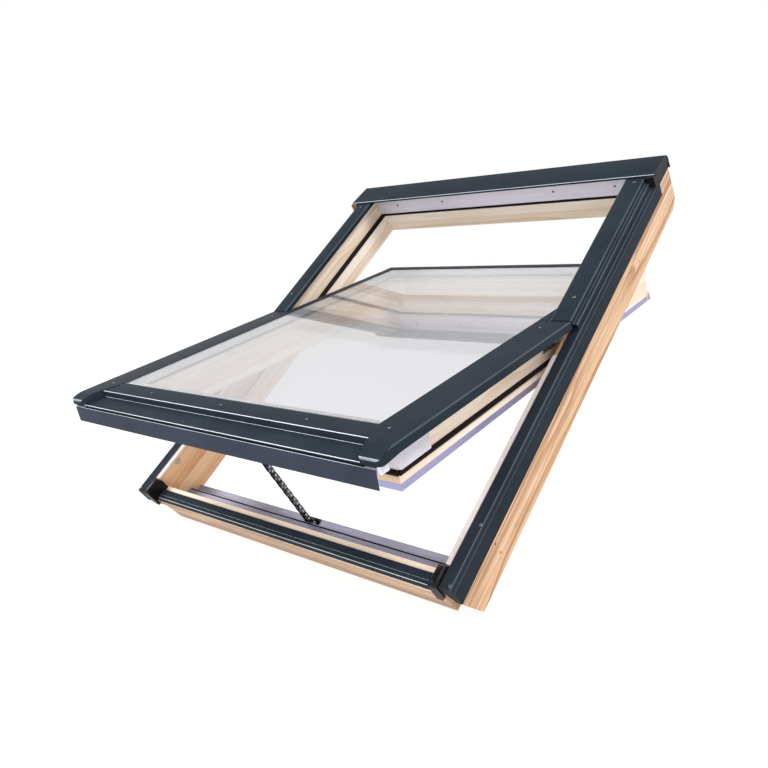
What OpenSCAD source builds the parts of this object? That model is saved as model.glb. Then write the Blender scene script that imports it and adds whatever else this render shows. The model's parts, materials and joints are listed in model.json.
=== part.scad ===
// Centre-pivot roof window with a chain-operated sash, shown open as a room is aired.
// Timber frame and sash, folded metal covers outside, sealed double glazing.
// Origin: middle of the pivot axis. +Z is up, +Y points into the roof, X runs along the pivot axis.
// Frame places are written (u, v, n): across, up the slope, out of the roof.
// Sash places are written (u, s, m): the same directions, turned with the sash.

/* [Pose] */
// Slope of the roof that the window lies in, degrees
roof_pitch = 42; // [15:1:70]
// How far the sash is swung open, degrees
open_angle = 26.19; // [12:0.01:30]

/* [Frame] */
// Outside width of the frame timber
frame_w = 780; // [600:10:1340]
// Outside height of the frame timber, along the slope
frame_h = 980; // [780:10:1600]
// Depth of the frame timber below the pivot axis
frame_d = 97; // [94:1:130]
// Thickness of each jamb
jamb_t = 40; // [38:1:60]
// Thickness of the head
head_t = 35; // [30:1:60]
// Thickness of the sill upstand
sill_t = 36; // [32:1:60]
// How far the sill upstand stops below the pivot axis
sill_drop = 26; // [24:1:32]
// Width of the rebate along the inside of the jambs
rebate_w = 8; // [4:1:10]
// Depth of the rebate shelf below the pivot axis
rebate_n = 48; // [44:1:60]
// Width of each decorative groove along the outside of the jambs
groove_w = 3; // [1:0.5:5]
// Depth of each decorative groove
groove_deep = 1.2; // [0.5:0.1:3]

/* [Covers] */
// Thickness of the folded metal covers
cover_t = 1.2; // [0.8:0.1:1.6]
// Width of the band that the jamb cover caps
cover_band = 24; // [20:1:26]
// How far the jamb cover reaches down the outside of the jamb
cover_drop = 34; // [28:1:38]
// Height of the jamb cover's upper fold over the pivot axis
crown = 2.5; // [2:0.5:4]
// How far the hood reaches down the slope from the head's outer face
hood_reach = 79; // [70:1:86]
// Where the upper side covers start above the pivot axis
upper_start = 15; // [14:1:30]

/* [Sash] */
// Gap between the sash stile and the jamb
sash_gap = 12; // [11:0.5:14]
// Gap between the sash bottom rail and the sill upstand
foot_gap = 8; // [7:0.5:10]
// Clear height between the sash and the frame's inner face
sill_room = 29; // [28:1:34]
// Width of the sash timbers
stile_w = 56; // [52:1:80]
// Thickness of each glass pane
pane_t = 4; // [3:0.5:6]
// Width of the space between the panes
cavity = 16; // [12:1:20]
// Width of the glass edge that the covers hide
edge_cover = 25; // [22:1:30]
// How far the sash covers stand out past the frame's lower end
overhang = 25; // [20:1:35]
// Height of the step along the bottom cover
cover_step = 12; // [8:1:13]
// Height of the drip plate
drip_h = 29; // [20:1:32]
// Height of the seal along the lower half of the sash
seal_h = 8; // [6:1:12]

/* [Pivot] */
// Radius of the pivot pins
pivot_r = 7; // [5:0.5:8]
// Thickness of the pivot plates
pivot_plate_t = 3; // [2:0.5:3.5]
// Radial running clearance of a pin in its eye
pin_play = 0.05; // [0.02:0.01:0.1]

/* [Chain] */
// Longest distance between two chain pins
chain_pitch = 11.5; // [9:0.5:14]
// Radius of the chain pins
chain_pin_r = 2; // [1.5:0.1:2.4]
// Height of a chain plate
plate_h = 8.4; // [7:0.1:9]
// Thickness of a chain plate
plate_t = 1.2; // [0.8:0.1:1.5]
// Clear width between the inner chain plates
roller_w = 5; // [4:0.5:6]
// Length of the chain drive in the bottom rail
drive_l = 360; // [200:10:420]

/* [Fixings] */
// Radius of the holes for the fixing brackets
fixing_r = 2.25; // [1.5:0.25:3]
// Depth of the holes for the fixing brackets
fixing_deep = 25; // [15:1:30]
// Distance between the two holes of a bracket
fixing_pitch = 23; // [18:1:26]
// Radius of the visible screw heads
screw_r = 3.2; // [2.5:0.1:4]

/* [Hidden] */
$fn = 48;
fit = 0.3;
bend_r = 1;
bend_steps = 3;
anthracite = "#343c45";
pine = "#e3bc90";
pine_pale = "#f0dcc4";
grey_alu = "#b3b0c4";
rubber_black = "#1c1718";
steel = "#8d9096";
plastic_dark = "#2b2725";
plastic_white = "#dedbe4";
glass_tint = "#cfd6da";

// Frame, derived
hw = frame_w / 2;
hh = frame_h / 2;
jamb_in = hw - jamb_t;
rebate_u = jamb_in + rebate_w;
head_in = hh - head_t;
sill_in = hh - sill_t;
shelf_n = -2;
timber_top = -6;
flange_u = hw - cover_band;
flange_foot = -12;
edge_n = crown - 2;
fold_u = hw - 3.5;
shoulder_n = -4;
ridge_u = hw + cover_t;
drop_end = hh - 58;
end_bevel = 21;
bevel_start = 36;
head_bevel = 14;
head_top = -4;
rail_t = 1.8;
groove_levels = [49, 73];
sill_front = hh - 3;
sill_bevel = 7;
upstand_front = hh - 6;
corner_seat = -13;
corner_back = sill_in + 1;

// Glass and sash timbers, derived
sash_d = frame_d - sill_room;
glass_top = 2 * pane_t + cavity;
tape_t = 3;
stile_out = jamb_in - sash_gap;
stile_in = stile_out - stile_w;
shoulder_m = 8;
lip_m = 16;
lip_w = 8;
lip_out = stile_out - 4;
lip_in = lip_out - lip_w;
glass_gap = 2;
glass_u = lip_in - glass_gap;
sight_u = stile_out - edge_cover;
sash_foot = sill_in - foot_gap;
foot_lip = sash_foot - lip_w;
glass_foot = foot_lip - glass_gap;
sash_head = head_in - 25;
head_tongue = head_in - 10;
head_fin = head_in - 5;
top_lip_m = 6;
top_lip = sash_head - 38;
glass_head = top_lip - glass_gap;
top_sight = glass_head - 13;
room_bevel = 8;
glass_bevel = 12;
trim_w = 10;
trim_h = 11;
seal_top = 36;
seal_t = 5;
seal_end = 5;
foot_seal_t = 4;

// Covers, derived
upper_n = glass_top - 2;
upper_in = stile_out - 2;
upper_flange = 11;
upper_end = head_in - 10;
hood_edge = hh + cover_t - hood_reach;
hood_n = glass_top + 2.5;
hood_half = hw + 4;
sash_cover_n = glass_top + cover_t;
cover_ridge = hw - 15.5;
cover_edge = hw - 13;
meet_gap = 2;
cover_end = (upper_start - meet_gap - sash_cover_n * sin(open_angle)) / cos(open_angle);
cover_foot = hh + overhang + 1;
tread_edge = hh - 14;
tread_front = hh + overhang - 3;
tread_n = glass_top - cover_step;
tread_front_n = tread_n - 3;
tread_half = hw - 24;
skirt_n = tread_n + fit;
skirt_front_n = tread_front_n + fit;
cover_low = skirt_n - 8;
corner_top = tread_front_n - cover_t - 1;
nose_start = foot_lip - 1;
nose_in = stile_out + 1;
drip_s = hh + overhang;
drip_top = 5;
drip_leg = 1;
block_out = stile_out + 8;
block_l = 66;
block_shelf = -15;
plug_in = hw - 12;
plug_low = hood_edge - 6;
plug_back = hood_edge + 12;

// Sill profile and chain, derived
profile_t = 1.5;
tier_1 = -(sash_d + 4.5);
tier_2 = -frame_d + 8.5;
bed_1 = tier_1 - profile_t;
bed_2 = tier_2 - profile_t;
tier_1_end = sill_in - 30;
tier_2_end = sill_in - 49;
chain_v = -tier_1_end + 6;
chain_n = tier_2 + 8;
entry_m = -(sash_d - 6);
entry_s = -sqrt(chain_v * chain_v + chain_n * chain_n - entry_m * entry_m);
entry_v = entry_s * cos(open_angle) + entry_m * sin(open_angle);
entry_n = -entry_s * sin(open_angle) + entry_m * cos(open_angle);
chain_len = norm([entry_v - chain_v, entry_n - chain_n]);
chain_turn = atan2(entry_n - chain_n, entry_v - chain_v);
link_count = ceil(chain_len / chain_pitch);
link_step = chain_len / link_count;
drive_back = entry_s - 8.6;
drive_w = 26;
drive_front = drive_back + drive_w;
drive_top = -30;
drive_plate_t = 2;
mouth_half = 9.5;
mouth_back = entry_s - 7;
mouth_front = entry_s + 12;
bracket_in = roller_w / 2 + 2 * plate_t + 3.2;
bracket_t = 2.5;
lug_r = 5.5;

// Pivot, derived
pivot_plate_u = rebate_u - pivot_plate_t;
sash_plate_u = stile_out + pivot_plate_t;
pivot_plate_half = 40;
eye_r = pivot_r + 5;

// Fixing brackets, derived
fixing_n = -56;
fixing_foot = 105;
fixing_head = 220;
fixing_v = [-(hh - fixing_foot), hh - fixing_head];

// Folded sheet: an outline of even thickness t along a row of points, t to the left of the way taken.
// Every bend is rounded, its inside to bend_r.
function left_of(a, b) = let (d = (b - a) / norm(b - a)) [-d[1], d[0]];
function mitre(p, i, t) =
    i == 0 ? p[0] + t * left_of(p[0], p[1]) :
    i == len(p) - 1 ? p[i] + t * left_of(p[i - 1], p[i]) :
    let (m = left_of(p[i - 1], p[i]) + left_of(p[i], p[i + 1])) p[i] + 2 * t * m / (m * m);
function arc(c, r, from, to, steps) =
    [for (i = [0 : steps]) let (a = from + (to - from) * i / steps) c + r * [cos(a), sin(a)]];
function turn_at(p, i) =
    let (a = p[i] - p[i - 1], b = p[i + 1] - p[i]) atan2(a[0] * b[1] - a[1] * b[0], a * b);
function bend_at(p, i, t) =
    let (turn = turn_at(p, i), r = bend_r + (turn * t > 0 ? abs(t) : 0), way = p[i] - p[i - 1],
        side = sign(turn) * left_of(p[i - 1], p[i]), start = p[i] - r * tan(abs(turn) / 2) * way / norm(way),
        from = atan2(-side[1], -side[0]))
    arc(start + r * side, r, from, from + turn, bend_steps);
function bent(p, t) =
    concat([p[0]], [for (i = [1 : len(p) - 2]) each bend_at(p, i, t)], [p[len(p) - 1]]);
function folded(p, t) =
    let (b = bent(p, t)) concat(b, [for (i = [len(b) - 1 : -1 : 0]) mitre(b, i, t)]);

// Height of the jamb cover's sloping top at a place across the frame
function jamb_cover_top(u) = edge_n + (crown - edge_n) * (u - flange_u) / (fold_u - flange_u);
jamb_cover_slope = atan2(crown - edge_n, fold_u - flange_u);
jamb_cover_way = [[flange_u, flange_foot + fit], [flange_u, edge_n], [fold_u, crown], [ridge_u, shoulder_n]];

module in_frame() {
    rotate([roof_pitch, 0, 0]) children();
}

module in_sash() {
    rotate([roof_pitch - open_angle, 0, 0]) children();
}

module in_chain() {
    in_frame() translate([0, chain_v, chain_n]) rotate([chain_turn, 0, 0]) children();
}

// side is 1 for the right and -1 for the left
module on_side(side) {
    if (side < 0) mirror([1, 0, 0]) children();
    else children();
}

module both_sides() {
    for (side = [-1, 1]) on_side(side) children();
}

// An outline (across, out) run up the slope from v0 to v1
module along_v(v0, v1) {
    translate([0, v1, 0]) rotate([90, 0, 0]) linear_extrude(v1 - v0) children();
}

// An outline (up, out) run across from u0 to u1
module along_u(u0, u1) {
    translate([u0, 0, 0]) rotate([90, 0, 90]) linear_extrude(u1 - u0) children();
}

// A box from one corner to the other
module slab(a, b) {
    translate(a) cube(b - a);
}

module screw_head(r = screw_r) {
    cylinder(h = 0.8, r = r);
    translate([0, 0, 0.8]) cylinder(h = 0.9, r1 = r, r2 = r * 0.6);
}

// Frame timbers
module jamb_outline() {
    slot_in = flange_u - fit;
    slot_out = flange_u + cover_t + fit;
    grooves = [for (g = [groove_levels[1], groove_levels[0]], k = [-1, 0, 1])
        [hw - (k == 0 ? groove_deep : 0), -g + k * groove_w / 2]];
    polygon(concat(
        [[jamb_in, -frame_d], [hw, -frame_d]],
        grooves,
        [[hw, timber_top], [slot_out, timber_top], [slot_out, flange_foot], [slot_in, flange_foot],
         [slot_in, shelf_n], [rebate_u + bend_r, shelf_n], [rebate_u, shelf_n - bend_r],
         [rebate_u, -rebate_n], [jamb_in, -rebate_n]]));
}

module jamb_side_outline() {
    polygon([[-hh, 0], [-hh, -bevel_start], [-hh + end_bevel, -frame_d], [hh - end_bevel, -frame_d],
        [hh, -frame_d + head_bevel], [hh, 0]]);
}

module jamb() {
    color(pine) in_frame() difference() {
        intersection() {
            along_v(-hh, hh) jamb_outline();
            along_u(0, hw) jamb_side_outline();
        }
        // the rubber corner sits here
        slab([rebate_u - 1, -hh - 1, corner_seat], [flange_u + cover_t / 2, -corner_back, 1]);
        for (v = fixing_v, k = [-1, 1])
            translate([hw + 1, v, fixing_n + k * fixing_pitch / 2]) rotate([0, -90, 0])
                cylinder(h = fixing_deep + 1, r = fixing_r);
    }
}

module frame_left_jamb() {
    mirror([1, 0, 0]) jamb();
}

module frame_right_jamb() {
    jamb();
}

module frame_head() {
    color(pine_pale) in_frame() {
        along_u(-jamb_in, jamb_in)
            polygon([[head_in, -frame_d], [hh - end_bevel, -frame_d], [hh, -frame_d + head_bevel],
                [hh, -rebate_n], [head_in, -rebate_n]]);
        along_u(-rebate_u, rebate_u)
            polygon([[head_in, -rebate_n], [hh, -rebate_n], [hh, head_top], [head_in + bend_r, head_top],
                [head_in, head_top - bend_r]]);
    }
}

module frame_sill() {
    mid_front = sill_front - sill_bevel * (rebate_n - bevel_start) / (frame_d - bevel_start);
    color(pine) in_frame() {
        along_u(-jamb_in, jamb_in)
            polygon([[-mid_front, -rebate_n], [-sill_front + sill_bevel, -frame_d], [-tier_2_end, -frame_d],
                [-tier_2_end, bed_2 - bend_r], [-tier_2_end - bend_r, bed_2], [-tier_1_end, bed_2],
                [-tier_1_end, bed_1 - bend_r], [-tier_1_end - bend_r, bed_1], [-sill_in, bed_1],
                [-sill_in, -rebate_n]]);
        along_u(-rebate_u, rebate_u)
            polygon([[-upstand_front, -sill_drop], [-upstand_front, -bevel_start],
                [-sill_front, -bevel_start], [-mid_front, -rebate_n], [-sill_in, -rebate_n],
                [-sill_in, -sill_drop]]);
    }
}

// Frame covers
module jamb_cover() {
    full_way = concat(jamb_cover_way, [[ridge_u, -cover_drop]]);
    short_way = concat(jamb_cover_way, [[ridge_u, shoulder_n - 6]]);
    color(anthracite) in_frame() {
        along_v(-hh - cover_t, drop_end) polygon(folded(full_way, -cover_t));
        along_v(drop_end, hh) polygon(folded(short_way, -cover_t));
        along_v(-hh - cover_t, -hh)
            polygon(concat(bent(full_way, -cover_t), [[hw - 9, -cover_drop], [flange_u + 6, -20]]));
    }
}

module jamb_cover_left() {
    mirror([1, 0, 0]) jamb_cover();
}

module jamb_cover_right() {
    jamb_cover();
}

module upper_cover() {
    top_u = hw - 16;
    step_u = top_u + 2;
    step_n = upper_n - 8;
    wall_u = hw - 6;
    color(anthracite) in_frame() difference() {
        union() {
            along_v(upper_start, upper_end)
                polygon(folded([[upper_in, upper_n - upper_flange], [upper_in, upper_n], [top_u, upper_n],
                    [step_u, step_n], [wall_u - 1, step_n - 1],
                    [wall_u, jamb_cover_top(wall_u - cover_t) + fit]], -cover_t));
            along_v(upper_start, upper_start + cover_t)
                polygon([[stile_out + 4, upper_n], [stile_out + 4, step_n], [top_u - 2, step_n],
                    [top_u - 2, upper_n]]);
        }
        // the hood's end plug sits here
        slab([plug_in - fit, plug_low - fit, 0], [hw, upper_end + 1, upper_n + 1]);
    }
}

module upper_cover_left() {
    mirror([1, 0, 0]) upper_cover();
}

module upper_cover_right() {
    upper_cover();
}

module head_hood() {
    back = hh + cover_t;
    back_drop = 11;
    knee_n = hood_n - 14.5;
    fold_n = hood_n - 5;
    color(anthracite) in_frame() along_u(-hood_half, hood_half)
        polygon(folded([[back, -back_drop], [back, knee_n], [back - 7, fold_n], [hood_edge, hood_n],
            [hood_edge, upper_n + fit]], cover_t));
}

// A plug under the hood's lower corner with a side piece behind it
module hood_cap() {
    seat = crown + 1;
    lip_n = upper_n - fit;
    side_in = hw - 4.8;
    side_end = hh - 4;
    color(plastic_dark) in_frame() {
        along_u(plug_in, hood_half)
            polygon([[plug_low, seat], [plug_low, hood_n - 2], [hood_edge - fit, hood_n - 1.5],
                [hood_edge - fit, lip_n], [plug_back, lip_n], [plug_back, seat]]);
        along_u(side_in, hood_half)
            polygon([[plug_back - 1, seat], [plug_back - 1, hood_n - 2.6],
                [side_end - 6, hood_n - 6.4], [side_end, hood_n - 14], [side_end, seat]]);
    }
}

module hood_cap_left() {
    mirror([1, 0, 0]) hood_cap();
}

module hood_cap_right() {
    hood_cap();
}

module head_rail() {
    color(grey_alu) in_frame() along_u(-rebate_u + fit, rebate_u - fit)
        polygon(folded([[head_in, -rebate_n + 6], [head_in, head_top], [hh - 4, head_top]], rail_t));
}

module frame_seal() {
    color(rubber_black) in_frame() {
        both_sides() along_v(pivot_plate_half + 5, head_in - 6)
            polygon([[jamb_in - 5, -rebate_n + 3], [jamb_in - 3, -rebate_n], [rebate_u - fit, -rebate_n],
                [rebate_u - fit, -rebate_n + 6], [jamb_in - 2, -rebate_n + 6]]);
        along_u(-rebate_u + fit, rebate_u - fit)
            polygon([[head_in, -rebate_n], [head_in, -rebate_n + 5.7], [head_in - 3, -rebate_n + 5.7],
                [head_in - 5, -rebate_n + 3], [head_in - 3, -rebate_n]]);
    }
}

module jamb_strip() {
    strip_t = 1.5;
    strip_leg = 3;
    color(grey_alu) in_frame() along_v(-sill_in, -pivot_plate_half - 5)
        polygon(folded([[rebate_u, shelf_n - strip_leg], [rebate_u, shelf_n], [flange_u - fit, shelf_n]],
            strip_t));
}

module jamb_strip_left() {
    mirror([1, 0, 0]) jamb_strip();
}

module jamb_strip_right() {
    jamb_strip();
}

module sill_cover() {
    front = upstand_front + cover_t;
    back = sill_in + 10;
    color(anthracite) in_frame() along_u(-jamb_in + 2, jamb_in - 2)
        polygon(folded([[-back, -sill_drop], [-back, -sill_drop + 5], [-front + 8, -sill_drop + 4],
            [-front, -sill_drop + 2.5], [-front, -bevel_start + fit]], cover_t));
}

// Domed rubber corners between the sill and the jambs
module sill_corner() {
    inner = jamb_in - 1.5;
    outer = flange_u - fit;
    dome_r = (outer - inner) / 2 - 0.5;
    dome = concat(arc([outer - dome_r, corner_top - dome_r], dome_r, 0, 90, 6),
        arc([inner + dome_r, corner_top - dome_r], dome_r, 90, 180, 6));
    front = hh + 4;
    front_r = 9;
    back_r = 14;
    color(rubber_black) in_frame() intersection() {
        union() {
            along_v(-hh, -corner_back)
                polygon(concat([[inner, -sill_drop], [rebate_u - fit, -sill_drop],
                    [rebate_u - fit, corner_seat], [outer, corner_seat]], dome));
            along_v(-front, -hh)
                polygon(concat([[inner, -bevel_start], [outer - 6, -bevel_start], [outer, -sill_drop]],
                    dome));
        }
        along_u(inner, outer)
            polygon(concat([[-corner_back, -bevel_start]],
                arc([-corner_back - back_r, corner_top - back_r], back_r, 0, 90, 6),
                arc([-front + front_r, corner_top - front_r], front_r, 90, 180, 5),
                [[-front, -bevel_start]]));
    }
}

module sill_corner_left() {
    mirror([1, 0, 0]) sill_corner();
}

module sill_corner_right() {
    sill_corner();
}

module sill_profile() {
    color(grey_alu) in_frame() along_u(-jamb_in + fit, jamb_in - fit)
        polygon(folded([[-sill_in, tier_1 + 9], [-sill_in, bed_1], [-tier_1_end, bed_1], [-tier_1_end, bed_2],
            [-tier_2_end, bed_2], [-tier_2_end, -frame_d]], profile_t));
}

// Pivots
module frame_pivot() {
    top_r = eye_r - 2;
    plate_top = -15;
    plate_foot = -38;
    color(steel) in_frame() {
        translate([pivot_plate_u, 0, 0]) rotate([0, 90, 0]) cylinder(h = pivot_plate_t, r = top_r);
        slab([pivot_plate_u, -top_r, plate_top], [rebate_u, top_r, 0]);
        slab([pivot_plate_u, -pivot_plate_half, plate_foot], [rebate_u, pivot_plate_half, plate_top]);
        translate([stile_out + fit, 0, 0]) rotate([0, 90, 0])
            cylinder(h = pivot_plate_u - stile_out, r = pivot_r);
    }
}

module frame_pivot_left() {
    mirror([1, 0, 0]) frame_pivot();
}

module frame_pivot_right() {
    frame_pivot();
}

module friction_discs() {
    disc_r = pivot_r + 4;
    start = sash_plate_u + fit;
    gap = pivot_plate_u - start;
    color(steel) in_frame() both_sides() translate([start, 0, 0]) rotate([0, 90, 0])
        rotate_extrude() polygon([[pivot_r + pin_play, 0], [disc_r, 0], [disc_r, gap * 0.3],
            [disc_r - 2, gap * 0.5], [disc_r, gap * 0.7], [disc_r, gap], [pivot_r + pin_play, gap]]);
}

module sash_pivot() {
    color(steel) in_sash() difference() {
        union() {
            translate([stile_out, 0, 0]) rotate([0, 90, 0]) cylinder(h = pivot_plate_t, r = eye_r);
            slab([stile_out, -pivot_plate_half, -20], [sash_plate_u, pivot_plate_half, 0]);
        }
        translate([stile_out - 1, 0, 0]) rotate([0, 90, 0])
            cylinder(h = pivot_plate_t + 2, r = pivot_r + pin_play);
    }
}

module sash_pivot_left() {
    mirror([1, 0, 0]) sash_pivot();
}

module sash_pivot_right() {
    sash_pivot();
}

// Chain bracket on the sill
module chain_bracket() {
    base_t = 1.5;
    base_half = bracket_in + bracket_t + 5;
    color(rubber_black) in_frame() difference() {
        union() {
            slab([-base_half, -tier_1_end + profile_t + bend_r + fit, tier_2],
                [base_half, -tier_2_end, tier_2 + base_t]);
            both_sides() {
                translate([bracket_in, chain_v, chain_n]) rotate([0, 90, 0])
                    cylinder(h = bracket_t, r = lug_r - 1);
                slab([bracket_in, chain_v - lug_r + 1 + bend_r, tier_2 + base_t / 2],
                    [bracket_in + bracket_t, chain_v + lug_r + 3, chain_n]);
            }
        }
        translate([-base_half, chain_v, chain_n]) rotate([0, 90, 0])
            cylinder(h = 2 * base_half, r = chain_pin_r + pin_play);
    }
}

module chain_pin() {
    reach = bracket_in + bracket_t + fit;
    head_h = 1.5;
    color(steel) in_frame() translate([0, chain_v, chain_n]) rotate([0, 90, 0]) {
        translate([0, 0, -reach]) cylinder(h = 2 * reach, r = chain_pin_r);
        for (k = [-1, 1]) translate([0, 0, k * (reach + head_h / 2) - head_h / 2])
            cylinder(h = head_h, r = chain_pin_r + 1.2);
    }
}

// Frame screws
module head_screws() {
    color(steel) in_frame() both_sides() for (share = [0.192, 0.372])
        translate([share * frame_w, head_in - rail_t, -19]) rotate([90, 0, 0]) screw_head(screw_r - 0.6);
}

module frame_cover_screws() {
    color(steel) in_frame() both_sides() {
        for (v = [-hh + 5.5, -hh + 106])
            translate([hw - 7, v, jamb_cover_top(hw - 7)]) rotate([0, -jamb_cover_slope, 0]) screw_head();
        for (v = [upper_start + 58, upper_end - 45])
            translate([stile_out + 20, v, upper_n]) screw_head();
    }
}

module frame_pivot_screws() {
    color(steel) in_frame() both_sides() for (v = [-26, 26])
        translate([pivot_plate_u, v, -26]) rotate([0, -90, 0]) screw_head();
}

// Sash timbers
module stile() {
    color(pine_pale) in_sash() difference() {
        along_v(-sash_foot, sash_head)
            polygon([[stile_in, -sash_d + room_bevel], [stile_in + room_bevel, -sash_d],
                [stile_out - trim_w, -sash_d], [stile_out - trim_w, -sash_d + trim_h],
                [stile_out, -sash_d + trim_h], [stile_out, shoulder_m], [lip_out, shoulder_m],
                [lip_out, lip_m], [lip_in, lip_m], [lip_in, -tape_t],
                [stile_in + glass_bevel, -tape_t], [stile_in, -glass_bevel]]);
        // the top trim passes over here
        slab([lip_in - 1, top_lip, top_lip_m], [stile_out + 1, sash_head + 1, lip_m + 1]);
        // the lower edging passes under here
        slab([stile_in - 1, -sash_foot - 1, -sash_d - 1],
            [stile_out + 1, -sash_foot + trim_w, -sash_d + trim_h]);
    }
}

module sash_left_stile() {
    mirror([1, 0, 0]) stile();
}

module sash_right_stile() {
    stile();
}

module sash_top_rail() {
    inner = sash_head - stile_w;
    color(pine_pale) in_sash() {
        along_u(-stile_in, stile_in)
            polygon([[inner, -sash_d + room_bevel], [inner + room_bevel, -sash_d],
                [sash_head, -sash_d], [sash_head, top_lip_m], [top_lip, top_lip_m],
                [top_lip, -tape_t], [inner + glass_bevel, -tape_t], [inner, -glass_bevel]]);
        along_u(-stile_out, stile_out)
            polygon([[sash_head, -sash_d], [head_tongue - trim_w, -sash_d],
                [head_tongue - trim_w, -sash_d + trim_h], [head_tongue, -sash_d + trim_h],
                [head_tongue, -sash_d + trim_h + 7], [sash_head, -sash_d + trim_h + 7]]);
    }
}

module sash_bottom_rail() {
    inner = -sash_foot + stile_w;
    color(pine_pale) in_sash() difference() {
        along_u(-stile_in, stile_in)
            polygon([[-sash_foot, -sash_d + trim_h], [-sash_foot + trim_w, -sash_d + trim_h],
                [-sash_foot + trim_w, -sash_d], [inner - room_bevel, -sash_d], [inner, -sash_d + room_bevel],
                [inner, -glass_bevel], [inner - glass_bevel, -tape_t], [-foot_lip, -tape_t],
                [-foot_lip, glass_top - cover_t], [-sash_foot, glass_top - cover_t]]);
        slab([-drive_l / 2 - fit, drive_back - fit, -sash_d - 1],
            [drive_l / 2 + fit, drive_front + fit, drive_top]);
    }
}

// Glazing
module pane(m0) {
    in_sash() slab([-glass_u, -glass_foot, m0], [glass_u, glass_head, m0 + pane_t]);
}

module outer_pane() {
    color(glass_tint) pane(pane_t + cavity);
}

module inner_pane() {
    color(glass_tint) pane(0);
}

// Four bars just inside the glass edge, from m0 to m1, the uprights between the cross bars
module edge_bars(w, m0, m1) {
    for (side = [-1, 1]) on_side(side)
        slab([glass_u - w, -glass_foot + w, m0], [glass_u, glass_head - w, m1]);
    slab([-glass_u, -glass_foot, m0], [glass_u, -glass_foot + w, m1]);
    slab([-glass_u, glass_head - w, m0], [glass_u, glass_head, m1]);
}

module glass_spacer() {
    color(steel) in_sash() edge_bars(11, pane_t, pane_t + cavity);
}

module glazing_tape() {
    color(rubber_black) in_sash() edge_bars(15, -tape_t, 0);
}

// Sash covers: side covers whose lower end rounds down and closes in a nose.
// Each is a mass less the same mass one sheet thickness smaller, open below, above and along the glass.
module cover_section(t) {
    ridge_r = bend_r + cover_t;
    lean = (cover_edge - cover_ridge) / (sash_cover_n - skirt_n);
    polygon(concat(
        [[sight_u - 2 * t, cover_low], [sight_u - 2 * t, sash_cover_n - t]],
        arc([cover_ridge - ridge_r, sash_cover_n - ridge_r], ridge_r - t, 90, atan(lean), 3),
        [[cover_edge + lean * (skirt_n - cover_low) - t, cover_low]]));
}

module cover_plan(t) {
    tip_r = 9;
    toe_r = 5;
    open = t > 0 ? 4 : 0;
    wall_s = sash_foot + 1;
    wall_u = sight_u + (nose_in - sight_u) * (wall_s - nose_start) / (cover_foot - nose_start);
    polygon(concat(
        [[sight_u - open, cover_end + open], [sight_u - open, -nose_start], [wall_u - open, -wall_s],
         [wall_u + t, -wall_s]],
        arc([nose_in + toe_r, -cover_foot + toe_r], toe_r - t, 200, 270, 4),
        arc([cover_edge - tip_r, -cover_foot + tip_r], tip_r - t, 270, 360, 5),
        [[cover_edge - t, cover_end + open]]));
}

module cover_side(t) {
    nose_r = 68;
    front_r = 4.5;
    nose_turn = 115;
    open = t > 0 ? 4 : 0;
    back = front_r - (nose_r - front_r) * cos(nose_turn);
    nose = [-cover_foot + back, sash_cover_n - nose_r];
    polygon(concat(
        [[cover_end + 6, skirt_n - open], [cover_end + 6, sash_cover_n - t]],
        arc(nose, nose_r - t, 90, nose_turn, 5),
        arc(nose + (nose_r - front_r) * [cos(nose_turn), sin(nose_turn)], front_r - t, nose_turn, 180, 4),
        [[-cover_foot + t, skirt_front_n - open], [-tread_front, skirt_front_n - open],
         [-tread_edge, skirt_n - open]]));
}

module cover_mass(t) {
    intersection() {
        along_v(-cover_foot, cover_end + (t > 0 ? 4 : 0)) cover_section(t);
        translate([0, 0, cover_low]) linear_extrude(sash_cover_n - cover_low + 1) cover_plan(t);
        along_u(sight_u - 8, cover_edge + 8) cover_side(t);
    }
}

module sash_cover() {
    color(anthracite) in_sash() difference() {
        cover_mass(0);
        cover_mass(cover_t);
    }
}

module sash_cover_left() {
    mirror([1, 0, 0]) sash_cover();
}

module sash_cover_right() {
    sash_cover();
}

module sash_bottom_cover() {
    nose_gap = 0.5;
    color(anthracite) in_sash() {
        difference() {
            along_u(-nose_in, nose_in)
                polygon(folded([[-foot_lip, glass_top], [-tread_edge, glass_top], [-tread_edge, tread_n],
                    [-tread_edge - 2, tread_n]], cover_t));
            both_sides() linear_extrude(glass_top + 1)
                polygon([[sight_u - nose_gap, -nose_start + 4], [sight_u - nose_gap, -nose_start],
                    [nose_in - nose_gap, -cover_foot], [nose_in + 9, -cover_foot],
                    [nose_in + 9, -nose_start + 4]]);
        }
        along_u(-tread_half, tread_half)
            polygon(folded([[-tread_edge - cover_t, tread_n], [-tread_front, tread_front_n],
                [-tread_front, drip_top + 0.5]], cover_t));
    }
}

module drip_plate() {
    color(anthracite) in_sash() {
        slab([-block_out, -drip_s, drip_leg], [block_out, -sash_foot, drip_leg + cover_t]);
        slab([-tread_half, -drip_s - cover_t, drip_top - drip_h], [tread_half, -drip_s, drip_top]);
    }
}

module sash_top_trim() {
    end = sash_head - 1;
    flat = 20;
    color(anthracite) in_sash() along_u(-lip_out, lip_out)
        polygon(folded([[top_sight, sash_cover_n], [top_sight + flat, sash_cover_n], [end, top_lip_m + 4],
            [end, top_lip_m]], -cover_t));
}

module sash_bead() {
    out = lip_out + 0.5;
    color(anthracite) in_sash() along_v(cover_end + 2, top_sight - fit)
        polygon(folded([[out, lip_m], [out, sash_cover_n], [sight_u, sash_cover_n]], cover_t));
}

module sash_bead_left() {
    mirror([1, 0, 0]) sash_bead();
}

module sash_bead_right() {
    sash_bead();
}

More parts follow.
